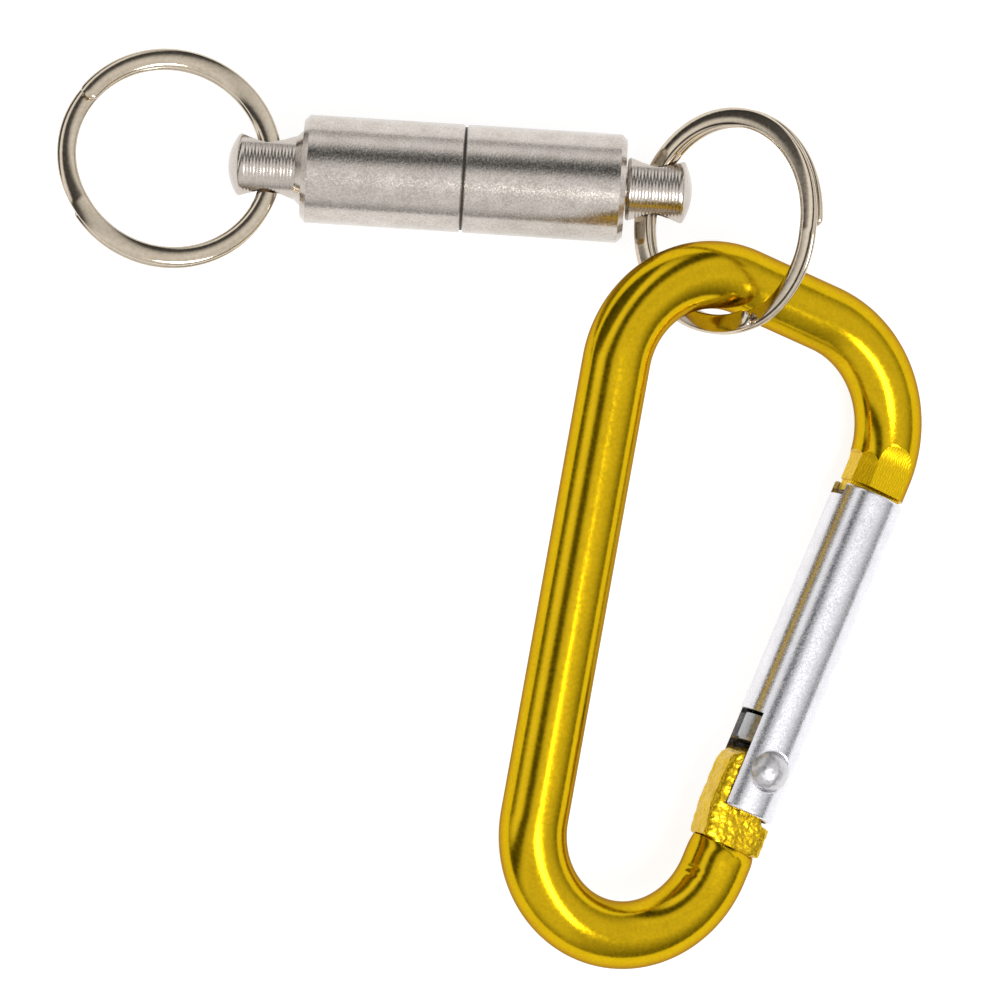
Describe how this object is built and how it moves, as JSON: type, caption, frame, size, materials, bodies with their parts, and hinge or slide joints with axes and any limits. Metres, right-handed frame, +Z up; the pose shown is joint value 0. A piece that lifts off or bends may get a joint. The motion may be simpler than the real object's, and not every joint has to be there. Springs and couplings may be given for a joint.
{
  "type": "magnetic quick-release key holder",
  "caption": "Magnetic quick-release coupling with split rings in its cross-drilled studs, one linked to a D-shaped snap carabiner with a sprung gate.",
  "frame": {"origin": "on the floor, under the centre of the bounding box of the assembly as it lies", "axes": "+Z up from the surface it lies on, +Y the way the carabiner points from its bottom bend to its top bar (longest extent), +X from the free key ring towards the carabiner gate"},
  "size_m": [0.0955, 0.1015, 0.0221],
  "materials": {
    "nickel_plate": "nickel plated steel wire, polished",
    "stainless_sleeve": "fine turned and polished stainless steel",
    "turned_stainless": "turned stainless steel with visible tool lines",
    "magnet_plate": "nickel plated magnet",
    "bush_plastic": "black plastic spacer",
    "seam_plastic": "black plastic disc",
    "gold_anodised": "gold anodised aluminium, satin gloss",
    "gate_aluminium": "bright aluminium with fine grain",
    "rivet_aluminium": "bare aluminium rivet",
    "spring_steel": "steel"
  },
  "bodies": {
    "carabiner": {"carabiner_frame": "gold_anodised"},
    "gate": {"gate": "gate_aluminium", "gate_rivet": "rivet_aluminium", "gate_spring": "spring_steel"},
    "plunger": {"gate_plunger": "spring_steel"},
    "link_ring": {"carabiner_ring": "nickel_plate"},
    "coupling_b": {"eye_stud_b": "turned_stainless", "sleeve_b": "stainless_sleeve", "magnet_b": "magnet_plate", "magnet_bush_b": "bush_plastic"},
    "wear_disc": {"wear_disc": "seam_plastic"},
    "coupling_a": {"eye_stud_a": "turned_stainless", "sleeve_a": "stainless_sleeve", "magnet_a": "magnet_plate", "magnet_bush_a": "bush_plastic"},
    "key_ring": {"key_ring": "nickel_plate"}
  },
  "joints": [
    {"name": "gate_hinge", "type": "hinge", "parent": "carabiner", "child": "gate", "pos_m": [0.02937, -0.02884, 0.00764], "axis": [0.4159, -0.0748, 0.9063], "range_deg": [0, 32], "stiffness_Nm_per_rad": 0.05, "springref_deg": -22.92},
    {"name": "plunger_slide", "type": "slide", "parent": "gate", "child": "plunger", "axis": [0.3857, 0.917, -0.1013], "range_m": [0, 0.0005], "deforming": ["gate_spring"]},
    {"name": "ring_on_bar", "type": "hinge", "parent": "carabiner", "child": "link_ring", "pos_m": [0.02556, 0.02583, 0.01391], "axis": [-0.8352, 0.3629, 0.4133], "range_deg": [-35, 38]},
    {"name": "stud_b_swing", "type": "hinge", "parent": "link_ring", "child": "coupling_b", "pos_m": [0.01845, 0.03497, 0.00678], "axis": [0.0637, 0.998, 0], "range_deg": [-75, 55]},
    {"name": "coupling_spin", "type": "hinge", "parent": "coupling_b", "child": "wear_disc", "pos_m": [-0.00286, 0.03633, 0.00678], "axis": [0.998, -0.0637, 0], "continuous": true},
    {"name": "magnet_pull_off", "type": "slide", "parent": "wear_disc", "child": "coupling_a", "axis": [-0.998, 0.0637, 0], "range_m": [0, 0.03]},
    {"name": "key_ring_swing", "type": "hinge", "parent": "coupling_a", "child": "key_ring", "pos_m": [-0.02462, 0.03772, 0.00678], "axis": [0.0637, 0.998, 0], "range_deg": [-110, 110]}
  ],
  "couplings": [
    {"joint": "plunger_slide", "follows": "gate_hinge", "m_per_rad": 0.000895}
  ]
}
